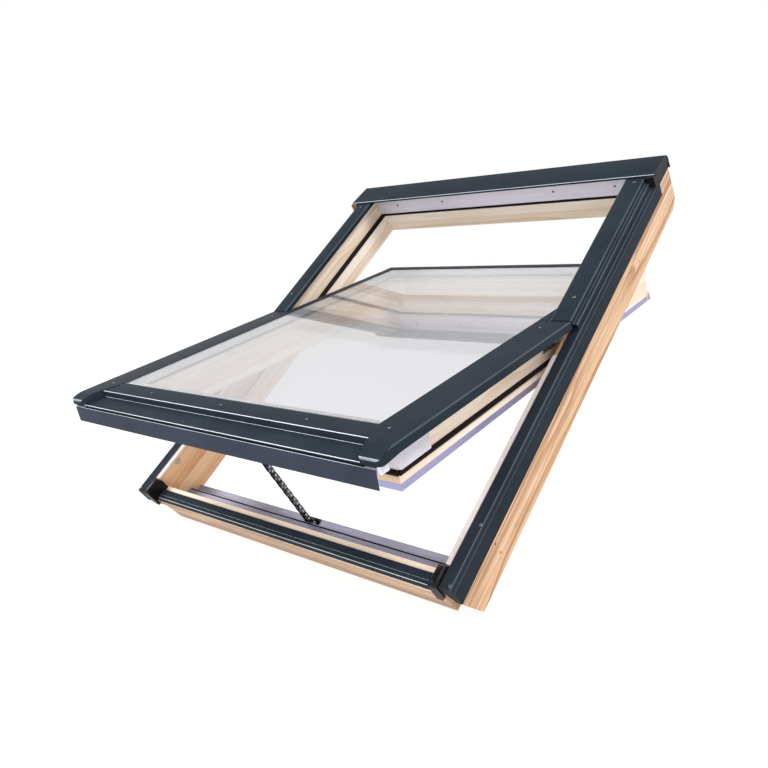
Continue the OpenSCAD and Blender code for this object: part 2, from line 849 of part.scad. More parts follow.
// Seal round the lower half of the sash
module sash_seal() {
    low = -seal_top - seal_h;
    color(rubber_black) in_sash() {
        both_sides() along_v(-sash_foot, -seal_end)
            polygon([[stile_out, low], [stile_out + seal_t - 2, low], [stile_out + seal_t, low + seal_h / 2],
                [stile_out + seal_t - 3, -seal_top], [stile_out, -seal_top]]);
        along_u(-stile_out, stile_out)
            polygon([[-sash_foot, low], [-sash_foot, -seal_top], [-sash_foot - foot_seal_t + 2, -seal_top],
                [-sash_foot - foot_seal_t, low + seal_h / 2], [-sash_foot - foot_seal_t + 1, low]]);
    }
}

// Metal edging on the room side of the sash: four strips, the top one with a fin
module sash_inner_trim() {
    edge = stile_out - trim_w;
    color(grey_alu) in_sash() {
        both_sides() slab([edge, -sash_foot + trim_w + fit, -sash_d],
            [stile_out, sash_head - fit, -sash_d + trim_h]);
        slab([-stile_out, -sash_foot, -sash_d], [stile_out, -sash_foot + trim_w, -sash_d + trim_h]);
        along_u(-stile_out, stile_out)
            polygon([[head_tongue - trim_w, -sash_d], [head_fin, -sash_d], [head_fin, -sash_d + 3],
                [head_tongue, -sash_d + 3], [head_tongue, -sash_d + trim_h],
                [head_tongue - trim_w, -sash_d + trim_h]]);
    }
}

// Moulded blocks that close the lower sash corners
module corner_block() {
    top = tread_front_n - cover_t - fit;
    low = -seal_top + 3;
    back = -sash_foot + block_l;
    front = -drip_s + 9;
    end_front = -drip_s + 2;
    end_back = -hh - 7;
    end_out = cover_edge - 5;
    end_low = drip_top - 8;
    key = 2;
    color(plastic_white) in_sash() {
        along_u(stile_out, block_out)
            polygon([[back, shoulder_m], [back, low], [-sash_foot - 2, low], [-sash_foot - 6, block_shelf],
                [front, block_shelf], [front, drip_leg], [-sash_foot, drip_leg], [-sash_foot, shoulder_m]]);
        along_u(stile_out - 24, block_out)
            polygon([[-sash_foot, drip_leg], [-sash_foot, low], [-sash_foot - 2, low],
                [-sash_foot - 6, block_shelf], [front, block_shelf], [front, drip_leg]]);
        along_u(stile_out - 10, block_out)
            polygon([[-sash_foot, drip_leg + cover_t], [-sash_foot, top], [front + 3, top],
                [front + 3, drip_leg + cover_t]]);
        // the front end fills the nose beside the drip plate
        along_v(end_front, end_back)
            polygon([[block_out, end_low], [end_out, end_low], [end_out, skirt_front_n - fit],
                [tread_half + fit, skirt_front_n - fit], [tread_half + fit, drip_top - fit],
                [block_out, drip_top - fit]]);
        // and is one piece with the block, below and above the drip plate
        slab([block_out - key, front + 1, end_low + 1], [block_out + key, end_back - 1, drip_leg - 1]);
        slab([block_out - key, front + 4, drip_leg + cover_t + fit],
            [block_out + key, end_back - 1, drip_top - 2 * fit]);
    }
}

module corner_block_left() {
    mirror([1, 0, 0]) corner_block();
}

module corner_block_right() {
    corner_block();
}

// Chain drive in the bottom rail
module chain_drive() {
    bottom = -sash_d + drive_plate_t;
    color(plastic_dark) in_sash() difference() {
        slab([-drive_l / 2, drive_back, bottom], [drive_l / 2, drive_front, drive_top - fit]);
        slab([-mouth_half, mouth_back, bottom - 1], [mouth_half, mouth_front, entry_m + 9]);
    }
}

module drive_plate() {
    color(steel) in_sash() difference() {
        slab([-drive_l / 2, drive_back, -sash_d], [drive_l / 2, drive_front, -sash_d + drive_plate_t]);
        slab([-mouth_half, mouth_back, -sash_d - 1], [mouth_half, mouth_front, -sash_d + drive_plate_t + 1]);
        for (k = [-1, 1]) translate([k * (drive_l / 2 - 12), (drive_back + drive_front) / 2, -sash_d - 1])
            cylinder(h = drive_plate_t + 2, r = 2);
    }
}

module sash_cover_screws() {
    color(steel) in_sash() {
        both_sides() for (s = [-cover_foot + 70, cover_end - 37])
            translate([sight_u + 24, s, sash_cover_n]) screw_head(screw_r - 0.8);
        for (u = [-0.62, 0, 0.62])
            translate([u * sight_u, -(foot_lip + tread_edge) / 2, glass_top]) screw_head(screw_r - 0.8);
    }
}

module sash_pivot_screws() {
    color(steel) in_sash() both_sides() for (s = [-28, 28])
        translate([sash_plate_u, s, -11]) rotate([0, 90, 0]) screw_head();
}

// Chain links, laid from the bracket to the drive
module link_plate(u) {
    translate([u, 0, 0]) rotate([90, 0, 90]) linear_extrude(plate_t) {
        circle(d = plate_h);
        translate([link_step, 0]) circle(d = plate_h);
        translate([0, -plate_h / 2]) square([link_step, plate_h]);
    }
}

module cross_pins(half, r) {
    for (k = [0, 1]) translate([-half, k * link_step, 0]) rotate([0, 90, 0]) cylinder(h = 2 * half, r = r);
}

module inner_link() {
    half = roller_w / 2;
    difference() {
        union() {
            for (u = [-half - plate_t, half]) link_plate(u);
            cross_pins(half + plate_t / 2, chain_pin_r + 1);
        }
        cross_pins(half + 2 * plate_t, chain_pin_r + pin_play);
    }
}

module outer_link() {
    half = roller_w / 2 + plate_t + fit;
    for (u = [-half - plate_t, half]) link_plate(u);
    cross_pins(half + plate_t + 0.6, chain_pin_r);
}

module chain_inner_links() {
    color(steel) in_chain() for (i = [0 : 2 : link_count - 1]) translate([0, i * link_step, 0]) inner_link();
}

module chain_outer_links() {
    color(steel) in_chain() for (i = [1 : 2 : link_count - 1]) translate([0, i * link_step, 0]) outer_link();
}

frame_left_jamb();
frame_right_jamb();
frame_head();
frame_sill();
jamb_cover_left();
jamb_cover_right();
upper_cover_left();
upper_cover_right();
head_hood();
hood_cap_left();
hood_cap_right();
head_rail();
frame_seal();
jamb_strip_left();
jamb_strip_right();
sill_cover();
sill_corner_left();
sill_corner_right();
sill_profile();
frame_pivot_left();
frame_pivot_right();
friction_discs();
chain_bracket();
chain_pin();
head_screws();
frame_cover_screws();
frame_pivot_screws();
sash_left_stile();
sash_right_stile();
sash_top_rail();
sash_bottom_rail();
outer_pane();
inner_pane();
glass_spacer();
glazing_tape();
sash_cover_left();
sash_cover_right();
sash_bottom_cover();
drip_plate();
sash_top_trim();
sash_bead_left();
sash_bead_right();
sash_seal();
sash_inner_trim();
corner_block_left();
corner_block_right();
sash_pivot_left();
sash_pivot_right();
chain_drive();
drive_plate();
sash_cover_screws();
sash_pivot_screws();
chain_inner_links();
chain_outer_links();
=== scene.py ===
"""Looks of a centre-pivot roof window: finishes, chain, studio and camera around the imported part.

Everything is in metres in the part's own frame. Patterns on the fixed pieces are laid in the roof's slope
(across, up the slope, out of the roof), and patterns on the sash in the plane of the open sash.
"""

import json
import logging
import math
from collections.abc import Iterable, Mapping, Sequence
from dataclasses import dataclass
from enum import Enum
from typing import Any

import bmesh
import bpy
from mathutils import Matrix, Vector

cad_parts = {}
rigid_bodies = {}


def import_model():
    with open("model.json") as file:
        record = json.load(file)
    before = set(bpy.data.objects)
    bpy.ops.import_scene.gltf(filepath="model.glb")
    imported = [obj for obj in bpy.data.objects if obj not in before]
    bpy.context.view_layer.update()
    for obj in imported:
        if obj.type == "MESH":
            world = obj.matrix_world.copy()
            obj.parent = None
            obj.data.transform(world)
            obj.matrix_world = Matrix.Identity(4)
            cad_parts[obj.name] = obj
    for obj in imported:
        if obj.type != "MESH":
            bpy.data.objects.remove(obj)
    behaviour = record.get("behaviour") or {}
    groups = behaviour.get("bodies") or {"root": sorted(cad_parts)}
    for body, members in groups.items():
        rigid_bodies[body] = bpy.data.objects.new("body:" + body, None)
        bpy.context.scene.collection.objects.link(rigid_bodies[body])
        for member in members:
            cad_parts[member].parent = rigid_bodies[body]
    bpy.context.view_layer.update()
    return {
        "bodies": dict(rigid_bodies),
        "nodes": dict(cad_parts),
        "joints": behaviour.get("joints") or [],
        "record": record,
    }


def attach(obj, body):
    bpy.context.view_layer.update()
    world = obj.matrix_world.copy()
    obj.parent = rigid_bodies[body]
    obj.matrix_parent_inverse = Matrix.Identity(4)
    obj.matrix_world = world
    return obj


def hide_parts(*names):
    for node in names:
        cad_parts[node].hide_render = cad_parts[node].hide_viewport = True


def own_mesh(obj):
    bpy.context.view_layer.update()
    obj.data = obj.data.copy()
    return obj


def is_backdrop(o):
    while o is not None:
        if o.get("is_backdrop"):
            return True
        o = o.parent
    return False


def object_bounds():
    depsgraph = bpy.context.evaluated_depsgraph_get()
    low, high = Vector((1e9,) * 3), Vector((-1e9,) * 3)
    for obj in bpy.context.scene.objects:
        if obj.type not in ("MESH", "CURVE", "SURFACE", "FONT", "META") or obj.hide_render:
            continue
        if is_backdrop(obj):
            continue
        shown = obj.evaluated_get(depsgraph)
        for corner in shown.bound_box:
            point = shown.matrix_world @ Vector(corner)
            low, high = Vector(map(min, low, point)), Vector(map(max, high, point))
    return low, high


LOG = logging.getLogger("roof_window")
MM = 0.001
WAVE_TURNS = 20.0  # a ring pattern's own factor on distance, in radians
SHARP_TURN = math.radians(40.0)  # an edge that turns further stays crisp

Colour = tuple[float, float, float, float]
Knot = tuple[float, float, float, float]  # middle and radius, mm
Point = tuple[float, float, float]
Node = bpy.types.Node
Shape = bmesh.types.BMesh
Socket = bpy.types.NodeSocket
Tree = bpy.types.NodeTree


def linear(hex_colour: str) -> Colour:
    """Turns an sRGB hex colour into a linear one.

    Args:
        hex_colour: A colour such as "#343c45".

    Returns:
        Linear red, green and blue, and full alpha.
    """
    channels = [int(hex_colour[i : i + 2], 16) / 255 for i in (1, 3, 5)]
    bent = [c / 12.92 if c <= 0.04045 else ((c + 0.055) / 1.055) ** 2.4 for c in channels]
    return (bent[0], bent[1], bent[2], 1.0)


def per_mm(size: float) -> float:
    """Scale of a pattern with one feature every size millimetres."""
    return 1.0 / (size * MM)


def add_node(
    tree: Tree,
    kind: str,
    settings: Mapping[str | int, Any] | None = None,
    links: Mapping[str | int, Socket] | None = None,
) -> Node:
    """Adds one node with its settings and links.

    Args:
        tree: The node tree that takes the node.
        kind: The node's type; a shader node's without the ShaderNode at its front.
        settings: Values by property, by input name or number, or "stops" for a ramp.
        links: Output sockets by the name or number of the input that they feed.

    Returns:
        The new node.
    """
    whole = kind.startswith(("Geometry", "Function", "NodeGroup"))
    node = tree.nodes.new(kind if whole else "ShaderNode" + kind)
    for key, value in (settings or {}).items():
        if key == "stops":
            elements = node.color_ramp.elements
            while len(elements) < len(value):
                elements.new(1.0)
            for element, (position, colour) in zip(elements, value):
                element.position = position
                element.color = colour
        elif isinstance(key, int) or key in node.inputs:
            node.inputs[key].default_value = value
        else:
            setattr(node, key, value)
    for key, socket in (links or {}).items():
        tree.links.new(socket, node.inputs[key])
    return node


def any_ray(tree: Tree, *kinds: str) -> Socket:
    """Tells rays of some kinds from the rest.

    Args:
        tree: The node tree.
        kinds: The kinds, such as "Shadow".

    Returns:
        1 for a ray of any of these kinds, and 0 for another.
    """
    path = add_node(tree, "LightPath")
    found = path.outputs[f"Is {kinds[0]} Ray"]
    for kind in kinds[1:]:
        both = {0: found, 1: path.outputs[f"Is {kind} Ray"]}
        found = add_node(tree, "Math", {"operation": "MAXIMUM"}, both).outputs[0]
    return found


class Grain(Enum):
    """Which way a timber's fibres run, as the number of the axis."""

    ACROSS = 0
    UP = 1


@dataclass(frozen=True)
class Finish:
    """What every finish has: a name for the real material, a colour and a gloss."""

    name: str
    colour: str
    roughness: float

    def material(self) -> bpy.types.Material:
        """The finish as a Blender material, made on first use."""
        found = bpy.data.materials.get(self.name)
        if found:
            return found
        made = bpy.data.materials.new(self.name)
        made.use_nodes = True
        shader = made.node_tree.nodes["Principled BSDF"]
        shader.inputs["Base Color"].default_value = linear(self.colour)
        shader.inputs["Roughness"].default_value = self.roughness
        self.pattern(made.node_tree, shader)
        return made

    def pattern(self, tree: Tree, shader: Node) -> None:
        """Adds the finish's own patterns to its shader.

        Args:
            tree: The node tree.
            shader: The shader that the patterns feed.
        """
        raise NotImplementedError

    def place(self, tree: Tree, tilt: float = 0.0) -> Socket:
        """Coordinates on the piece itself, turned level with the plane that it was made in.

        Args:
            tree: The node tree.
            tilt: The plane's slope in radians.

        Returns:
            The socket with the coordinates, in metres.
        """
        coordinates = add_node(tree, "TexCoord").outputs["Object"]
        turned = add_node(tree, "Mapping", {"Rotation": (-tilt, 0.0, 0.0)}, {"Vector": coordinates})
        return turned.outputs["Vector"]

    def noise(self, tree: Tree, place: Socket, scale: Sequence[float], detail: float) -> Node:
        """Noise with its own scale along each axis.

        Args:
            tree: The node tree.
            place: Coordinates in metres.
            scale: Features a metre along each axis.
            detail: Finer layers on top of the first.

        Returns:
            The noise node.
        """
        stretched = add_node(tree, "VectorMath", {"operation": "MULTIPLY", 1: tuple(scale)}, {0: place})
        settings = {"Scale": 1.0, "Detail": detail}
        return add_node(tree, "TexNoise", settings, {"Vector": stretched.outputs[0]})

    def shade(self, tree: Tree, amount: Socket, dark: str, pale: str) -> Socket:
        """A colour between two, by an amount from noise that mostly lies near one half.

        Args:
            tree: The node tree.
            amount: The noise value.
            dark: Colour at low values.
            pale: Colour at high values.

        Returns:
            The colour socket.
        """
        stops = [(0.3, linear(dark)), (0.7, linear(pale))]
        return add_node(tree, "ValToRGB", {"stops": stops}, {"Fac": amount}).outputs["Color"]

    def gloss(self, tree: Tree, shader: Node, amount: Socket, spread: float) -> None:
        """Lets the roughness vary with a noise value.

        Args:
            tree: The node tree.
            shader: The shader that takes the roughness.
            amount: The noise value.
            spread: How far it varies either way.
        """
        limits = {"To Min": self.roughness - spread, "To Max": self.roughness + spread}
        ranged = add_node(tree, "MapRange", limits, {"Value": amount})
        tree.links.new(ranged.outputs["Result"], shader.inputs["Roughness"])

    def relief(self, tree: Tree, shader: Node, height: Socket, depth: float, strength: float) -> None:
        """Raises the surface by a height value.

        Args:
            tree: The node tree.
            shader: The shader that takes the normal.
            height: The height from 0 to 1.
            depth: Height of the relief in millimetres.
            strength: How much of it shows.
        """
        settings = {"Strength": strength, "Distance": depth * MM}
        bump = add_node(tree, "Bump", settings, {"Height": height})
        tree.links.new(bump.outputs["Normal"], shader.inputs["Normal"])


@dataclass(frozen=True)
class LacqueredPine(Finish):
    """Pine glued up from strips, planed and clear lacquered.

    Rings round a pith outside the board give straight to flamed figure on the faces and arcs on the ends,
    each glued strip with a figure of its own. The lacquer gives an even satin gloss over slightly raised
    late wood.
    """

    late: str
    tilt: float
    grain: Grain
    strips: tuple[float, ...] = (-97.0, -73.0, -49.0, -24.0)  # lower edge of each, mm out of the roof
    strips_top: float = 30.0
    strips_apart: float = 0.16  # how far from each other they grew, m
    ring: float = 4.2  # width of a year's growth, mm
    turning: float = 0.55  # share of a ring where late wood sets in
    darkest: float = 0.93  # and where it is darkest
    drift: tuple[float, float] = (140.0, 620.0)  # size of a bend in the rings, across and along, mm
    wander: float = 10.0  # and how far it takes them, mm
    fibre: str = "#f1ece6"
    fibre_size: tuple[float, float] = (2.2, 130.0)  # across and along, mm
    end_colour: str = "#dcc9b4"
    weathered: str = "#ffffff"  # tint of painted shade at the lower end, standing in for the shadow under the sash
    painted_shade_span: tuple[float, float] = (-340.0, -60.0)  # up the slope, mm
    knots: tuple[Knot, ...] = ()
    knot_colour: str = "#9a8270"
    knot_core: float = 0.55  # share of its radius with the full colour
    knot_share: float = 0.75  # of that colour over the wood's

    def pattern(self, tree: Tree, shader: Node) -> None:
        """Adds rings, fibres, glued strips, end grain, painted shade at the lower end and knots.

        Args:
            tree: The node tree.
            shader: The shader that the patterns feed.
        """
        place = self.place(tree, self.tilt)
        figure = self.figure(tree, place)
        rings = add_node(tree, "ValToRGB", {"stops": self.ring_stops()}, {"Fac": figure}).outputs["Color"]
        fibres = self.noise(tree, place, self.along(*self.fibre_size), detail=4.0).outputs["Fac"]
        colour = self.times(tree, rings, self.shade(tree, fibres, self.fibre, "#ffffff"))
        colour = self.times(tree, colour, self.strip_tint(tree, place))
        colour = self.times(tree, colour, self.end_tint(tree))
        colour = self.times(tree, colour, self.painted_shade_tint(tree, place))
        for knot in self.knots:
            colour = self.knotted(tree, place, colour, knot)
        tree.links.new(colour, shader.inputs["Base Color"])
        self.gloss(tree, shader, fibres, spread=0.08)
        self.relief(tree, shader, figure, depth=0.15, strength=0.12)

    def along(self, across: float, length: float) -> tuple[float, float, float]:
        """Scales of a pattern that follows the fibres.

        Args:
            across: Width of a feature across the fibres, in millimetres.
            length: Its length along them.

        Returns:
            Features a metre along each axis.
        """
        scale = [per_mm(across)] * 3
        scale[self.grain.value] = per_mm(length)
        return (scale[0], scale[1], scale[2])

    def ring_stops(self) -> list[tuple[float, Colour]]:
        """Pale early wood that slowly turns to a thin line of late wood."""
        early, late = linear(self.colour), linear(self.late)
        return [(0.0, early), (self.turning, early), (self.darkest, late), (1.0, early)]

    def figure(self, tree: Tree, place: Socket) -> Socket:
        """The growth rings.

        Args:
            tree: The node tree.
            place: Coordinates in metres.

        Returns:
            A value from 0 in early wood to 1 in late wood.
        """
        drift = self.noise(tree, place, self.along(*self.drift), detail=1.5).outputs["Color"]
        centred = add_node(tree, "VectorMath", {"operation": "SUBTRACT", 1: (0.5, 0.5, 0.5)}, {0: drift})
        bend = self.scaled(tree, centred.outputs[0], 2 * self.wander * MM)
        bent = add_node(tree, "VectorMath", {"operation": "ADD"}, {0: place, 1: bend})
        offset = self.scaled(tree, self.strip_colour(tree, place), self.strips_apart)
        moved = add_node(tree, "VectorMath", {"operation": "ADD"}, {0: bent.outputs[0], 1: offset})
        settings = {
            "wave_type": "RINGS",
            "rings_direction": "XY"[self.grain.value],
            "wave_profile": "SAW",
            "Scale": 2 * math.pi / (WAVE_TURNS * self.ring * MM),
            "Distortion": 0.5,
            "Detail": 2.0,
            "Detail Scale": 0.3,
        }
        return add_node(tree, "TexWave", settings, {"Vector": moved.outputs[0]}).outputs["Fac"]

    def scaled(self, tree: Tree, vector: Socket, factor: float) -> Socket:
        """A vector times a factor."""
        return add_node(tree, "VectorMath", {"operation": "SCALE", "Scale": factor}, {0: vector}).outputs[0]

    def strip_colour(self, tree: Tree, place: Socket) -> Socket:
        """A steady value for each glued strip, as a colour that stands for its own place in the tree."""
        tones = [linear(c) for c in ("#c9a0ff", "#ff70a0", "#80d0c0", "#e0ffb0")]
        return self.by_strip(tree, place, tones)

    def strip_tint(self, tree: Tree, place: Socket) -> Socket:
        """A slight tint for each glued strip."""
        tints = [linear(c) for c in ("#f6efe6", "#ffffff", "#f3ebe2", "#fdf8f2")]
        return self.by_strip(tree, place, tints)

    def by_strip(self, tree: Tree, place: Socket, tones: Iterable[Colour]) -> Socket:
        """One tone for each glued strip, by its height in the timber.

        Args:
            tree: The node tree.
            place: Coordinates in metres.
            tones: The strips' tones.

        Returns:
            The tone at each place.
        """
        low, high = self.strips[0], self.strips_top
        height = add_node(tree, "SeparateXYZ", links={0: place}).outputs["Z"]
        limits = {"From Min": low * MM, "From Max": high * MM}
        share = add_node(tree, "MapRange", limits, {"Value": height}).outputs["Result"]
        stops = [((level - low) / (high - low), tone) for level, tone in zip(self.strips, tones)]
        ramp = add_node(tree, "ValToRGB", {"stops": stops}, {"Fac": share})
        ramp.color_ramp.interpolation = "CONSTANT"
        return ramp.outputs["Color"]

    def end_tint(self, tree: Tree) -> Socket:
        """Darkens the sawn ends, where the open grain soaks up lacquer.

        Args:
            tree: The node tree.

        Returns:
            The tint at each place.
        """
        facing = add_node(tree, "TexCoord").outputs["Normal"]
        turn = {"vector_type": "VECTOR", "Rotation": (-self.tilt, 0.0, 0.0)}
        level = add_node(tree, "Mapping", turn, {"Vector": facing})
        parts = add_node(tree, "SeparateXYZ", links={0: level.outputs[0]})
        end = add_node(tree, "Math", {"operation": "ABSOLUTE"}, {0: parts.outputs[self.grain.value]})
        side, square = 0.6, 0.8  # how far a face leans to the fibres as a side, and as a sawn end
        stops = [(side, linear("#ffffff")), (square, linear(self.end_colour))]
        return add_node(tree, "ValToRGB", {"stops": stops}, {"Fac": end.outputs[0]}).outputs["Color"]

    def painted_shade_tint(self, tree: Tree, place: Socket) -> Socket:
        """Fades from the painted shade at the timber's lower end to none at its middle.

        Args:
            tree: The node tree.
            place: Coordinates in metres.

        Returns:
            The tint at each place.
        """
        height = add_node(tree, "SeparateXYZ", links={0: place}).outputs["Y"]
        limits = {"From Min": self.painted_shade_span[0] * MM, "From Max": self.painted_shade_span[1] * MM}
        share = add_node(tree, "MapRange", limits, {"Value": height}).outputs["Result"]
        stops = [(0.0, linear(self.weathered)), (1.0, linear("#ffffff"))]
        return add_node(tree, "ValToRGB", {"stops": stops}, {"Fac": share}).outputs["Color"]

    def knotted(self, tree: Tree, place: Socket, colour: Socket, knot: Knot) -> Socket:
        """Mixes in one knot.

        Args:
            tree: The node tree.
            place: Coordinates in metres.
            colour: The wood's colour so far.
            knot: Its middle and its radius in millimetres.

        Returns:
            The colour with the knot.
        """
        middle, radius = tuple(c * MM for c in knot[:3]), knot[3] * MM
        apart = add_node(tree, "VectorMath", {"operation": "DISTANCE", 1: middle}, {0: place})
        limits = {
            "From Min": self.knot_core * radius,
            "From Max": radius,
            "To Min": self.knot_share,
            "To Max": 0.0,
        }
        share = add_node(tree, "MapRange", limits, {"Value": apart.outputs["Value"]}).outputs["Result"]
        settings = {"data_type": "RGBA", 7: linear(self.knot_colour)}
        return add_node(tree, "Mix", settings, {0: share, 6: colour}).outputs[2]

    def times(self, tree: Tree, first: Socket, second: Socket) -> Socket:
        """The product of two colours."""
        settings = {"data_type": "RGBA", "blend_type": "MULTIPLY", 0: 1.0}
        return add_node(tree, "Mix", settings, {6: first, 7: second}).outputs[2]


@dataclass(frozen=True)
class PowderCoat(Finish):
    """Polyester powder baked on to folded aluminium sheet.

    It gives a dark satin surface with a fine orange peel, and a little uneven gloss from handling and rain.
    """

    worn: str
    specular: float = 0.2  # matting agents in the powder leave less shine than bare resin
    peel: float = 1.8  # real peel is near 0.8 mm; drawn coarser so that it shows
    cloud: float = 90.0  # size of a patch of dirt, mm

    def pattern(self, tree: Tree, shader: Node) -> None:
        """Adds clouding, uneven gloss and orange peel.

        Args:
            tree: The node tree.
            shader: The shader that the patterns feed.
        """
        shader.inputs["Specular IOR Level"].default_value = self.specular
        place = self.place(tree)
        clouds = self.noise(tree, place, [per_mm(self.cloud)] * 3, detail=5.0).outputs["Fac"]
        tree.links.new(self.shade(tree, clouds, self.colour, self.worn), shader.inputs["Base Color"])
        self.gloss(tree, shader, clouds, spread=0.09)
        peel = self.noise(tree, place, [per_mm(self.peel)] * 3, detail=1.0).outputs["Fac"]
        self.relief(tree, shader, peel, depth=0.08, strength=0.15)


@dataclass(frozen=True)
class DrawnAluminium(Finish):
    """Extruded aluminium with a thin satin coat.

    Die lines along the profile give a soft streaked sheen between plain metal and paint.
    """

    pale: str
    metallic: float = 0.55
    die_line: float = 1.6  # real lines are near 0.3 mm; drawn coarser so that they show
    run: float = 400.0  # length of a line, mm

    def pattern(self, tree: Tree, shader: Node) -> None:
        """Adds die lines to the colour and the gloss.

        Args:
            tree: The node tree.
            shader: The shader that the patterns feed.
        """
        shader.inputs["Metallic"].default_value = self.metallic
        lines = [per_mm(self.run), per_mm(self.die_line), per_mm(self.die_line)]
        streaks = self.noise(tree, self.place(tree), lines, detail=4.0).outputs["Fac"]
        tree.links.new(self.shade(tree, streaks, self.colour, self.pale), shader.inputs["Base Color"])
        self.gloss(tree, shader, streaks, spread=0.06)


@dataclass(frozen=True)
class ZincPlate(Finish):
    """Steel, stamped or turned and zinc plated.

    It gives a cool grey metal with fine crystal patches and a gloss that changes from patch to patch.
    """

    pale: str
    patch: float = 3.0  # mm

    def pattern(self, tree: Tree, shader: Node) -> None:
        """Adds crystal patches to the colour and the gloss.

        Args:
            tree: The node tree.
            shader: The shader that the patterns feed.
        """
        shader.inputs["Metallic"].default_value = 1.0
        place = self.place(tree)
        patches = add_node(tree, "TexVoronoi", {"Scale": per_mm(self.patch)}, {"Vector": place})
        value = add_node(tree, "SeparateColor", links={0: patches.outputs["Color"]}).outputs[0]
        tree.links.new(self.shade(tree, value, self.colour, self.pale), shader.inputs["Base Color"])
        self.gloss(tree, shader, value, spread=0.1)


@dataclass(frozen=True)
class Moulded(Finish):
    """Rubber or plastic, extruded or moulded, with the fine grain that its tool leaves.

    It gives an even body colour with soft gloss; a light plastic also lets some light through thin walls.
    """

    pale: str
    grit: float = 1.2  # real grain is near 0.2 mm; drawn coarser so that it shows
    depth: float = 0.06  # of that grain, mm
    cloud: float = 35.0  # size of a patch of dirt, mm
    glow: float = 0.0
    glow_reach: float = 4.0  # how far light spreads inside, mm
    specular: float = 0.5

    def pattern(self, tree: Tree, shader: Node) -> None:
        """Adds the tool's grain to the colour, the gloss and the surface.

        Args:
            tree: The node tree.
            shader: The shader that the patterns feed.
        """
        place = self.place(tree)
        clouds = self.noise(tree, place, [per_mm(self.cloud)] * 3, detail=4.0).outputs["Fac"]
        tree.links.new(self.shade(tree, clouds, self.colour, self.pale), shader.inputs["Base Color"])
        self.gloss(tree, shader, clouds, spread=0.07)
        grain = self.noise(tree, place, [per_mm(self.grit)] * 3, detail=2.0).outputs["Fac"]
        self.relief(tree, shader, grain, self.depth, strength=0.25)
        shader.inputs["Specular IOR Level"].default_value = self.specular
        shader.inputs["Subsurface Weight"].default_value = self.glow
        shader.inputs["Subsurface Scale"].default_value = self.glow_reach * MM


@dataclass(frozen=True)
class FloatGlass(Finish):
    """Float glass, cut and sealed in a pair.

    It is clear with a faint grey body, and a thin film of dust dulls it a little in patches. Lamps shine
    through it, so what lies under it isn't in a hard shadow.
    """

    ior: float = 1.45
    clear: float = 0.96  # the rest is dust, which a white sky lights
    film: float = 60.0  # size of a patch of the film, mm
    dulled: float = 0.05  # roughness that it adds
    shadow: str = "#f3f3f3"  # tint of the lamps' light under the pane

    def pattern(self, tree: Tree, shader: Node) -> None:
        """Adds the film of dust and lets the lamps through.

        Args:
            tree: The node tree.
            shader: The shader that the patterns feed.
        """
        shader.inputs["IOR"].default_value = self.ior
        shader.inputs["Transmission Weight"].default_value = self.clear
        film = self.noise(tree, self.place(tree), [per_mm(self.film)] * 3, detail=6.0).outputs["Fac"]
        rough = self.roughness + self.dulled
        limits = {"From Min": 0.45, "From Max": 0.8, "To Min": self.roughness, "To Max": rough}
        dull = add_node(tree, "MapRange", limits, {"Value": film}).outputs["Result"]
        tree.links.new(dull, shader.inputs["Roughness"])
        soft = any_ray(tree, "Shadow", "Diffuse")
        clear = add_node(tree, "BsdfTransparent", {"Color": linear(self.shadow)})
        mixed = add_node(tree, "MixShader", links={0: soft, 1: shader.outputs[0], 2: clear.outputs[0]})
        tree.links.new(mixed.outputs[0], tree.nodes["Material Output"].inputs["Surface"])


SEAL_RUBBER = Moulded("extruded_seal_rubber", "#120e0f", 0.6, "#1b1516", specular=0.08)
ZINC_STEEL = ZincPlate("zinc_plated_steel", "#9fa3a8", 0.34, "#c3c6ca")
BLACK_STEEL = ZincPlate("black_plated_steel", "#1b1b1d", 0.38, "#2b2b2e")
SCREW_STEEL = ZincPlate("blackened_screw_steel", "#4a4d53", 0.36, "#686c73")


@dataclass
class Window:
    """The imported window: its nodes, and the slopes of its frame and of its open sash."""

    nodes: Mapping[str, bpy.types.Object]
    pitch: float
    sash_pitch: float
    chain_foot: Vector

    @classmethod
    def packed(cls, frame: Mapping[str, Any]) -> "Window":
        """Reads the slopes and the chain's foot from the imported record.


        Returns:
            The window.
        """
        record = frame["record"]
        outward = next(m["axis"] for m in record["mounts"] if m["name"] == "roof_opening")
        joints = {j["name"]: j for j in frame["joints"]}
        pitch = math.atan2(-outward[1], outward[2])
        opened = math.radians(-joints["sash_swing"]["range_deg"][0])
        return cls(frame["nodes"], pitch, pitch - opened, Vector(joints["chain_swing"]["pos_m"]))

    def coat(self, finish: Finish, *names: str) -> None:
        """Gives nodes a finish.

        Args:
            finish: The finish.
            names: The nodes.
        """
        for name in names:
            mesh = self.nodes[name].data
            mesh.materials.clear()
            mesh.materials.append(finish.material())
            LOG.info("node %s: %s", name, finish.name)

    def soften(self, *names: str, ease: float = 0.0) -> None:
        """Smooths the bends of these nodes.

        Args:
            names: The nodes.
            ease: Round on their sharp edges, in millimetres.
        """
        for name in names:
            modifiers = self.nodes[name].modifiers
            modifiers.new("joined_faces", "NODES").node_group = joined_faces()
            if ease:
                eased = modifiers.new("eased_edges", "BEVEL")
                eased.limit_method = "ANGLE"
                eased.angle_limit = SHARP_TURN
                eased.width = ease * MM
                eased.segments = 2


